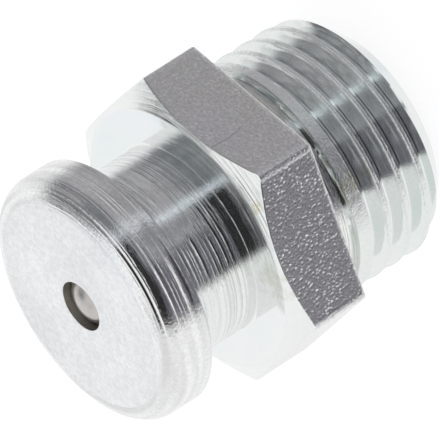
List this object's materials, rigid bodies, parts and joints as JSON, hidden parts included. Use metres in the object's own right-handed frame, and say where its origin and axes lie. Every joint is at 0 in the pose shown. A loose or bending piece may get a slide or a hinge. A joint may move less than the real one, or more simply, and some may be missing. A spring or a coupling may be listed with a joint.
{
  "type": "grease nipple",
  "caption": "Flat-head grease nipple: round button head with central inlet, neck, spanner hexagon, parallel pipe thread, and a sprung check ball behind the inlet.",
  "frame": {"origin": "centre of the hexagon's seating face, where the shank leaves it", "axes": "+Z along the axis from the thread towards the head; +X through a corner of the hexagon"},
  "size_m": [0.0128, 0.011, 0.0137],
  "materials": {
    "zinc_plated_steel": "bright blue-white zinc plating over turned and drawn steel",
    "hardened_steel": "polished",
    "spring_steel": "drawn wire"
  },
  "bodies": {
    "body": {"nipple_body": "zinc_plated_steel", "valve_spring": "spring_steel"},
    "ball": {"check_ball": "hardened_steel"}
  },
  "joints": [
    {"name": "ball_lift", "type": "slide", "parent": "body", "child": "ball", "axis": [0, 0, -1], "range_m": [0, 0.0008], "stiffness_N_per_m": 940, "springref_m": -0.0012, "deforming": ["valve_spring"]}
  ]
}
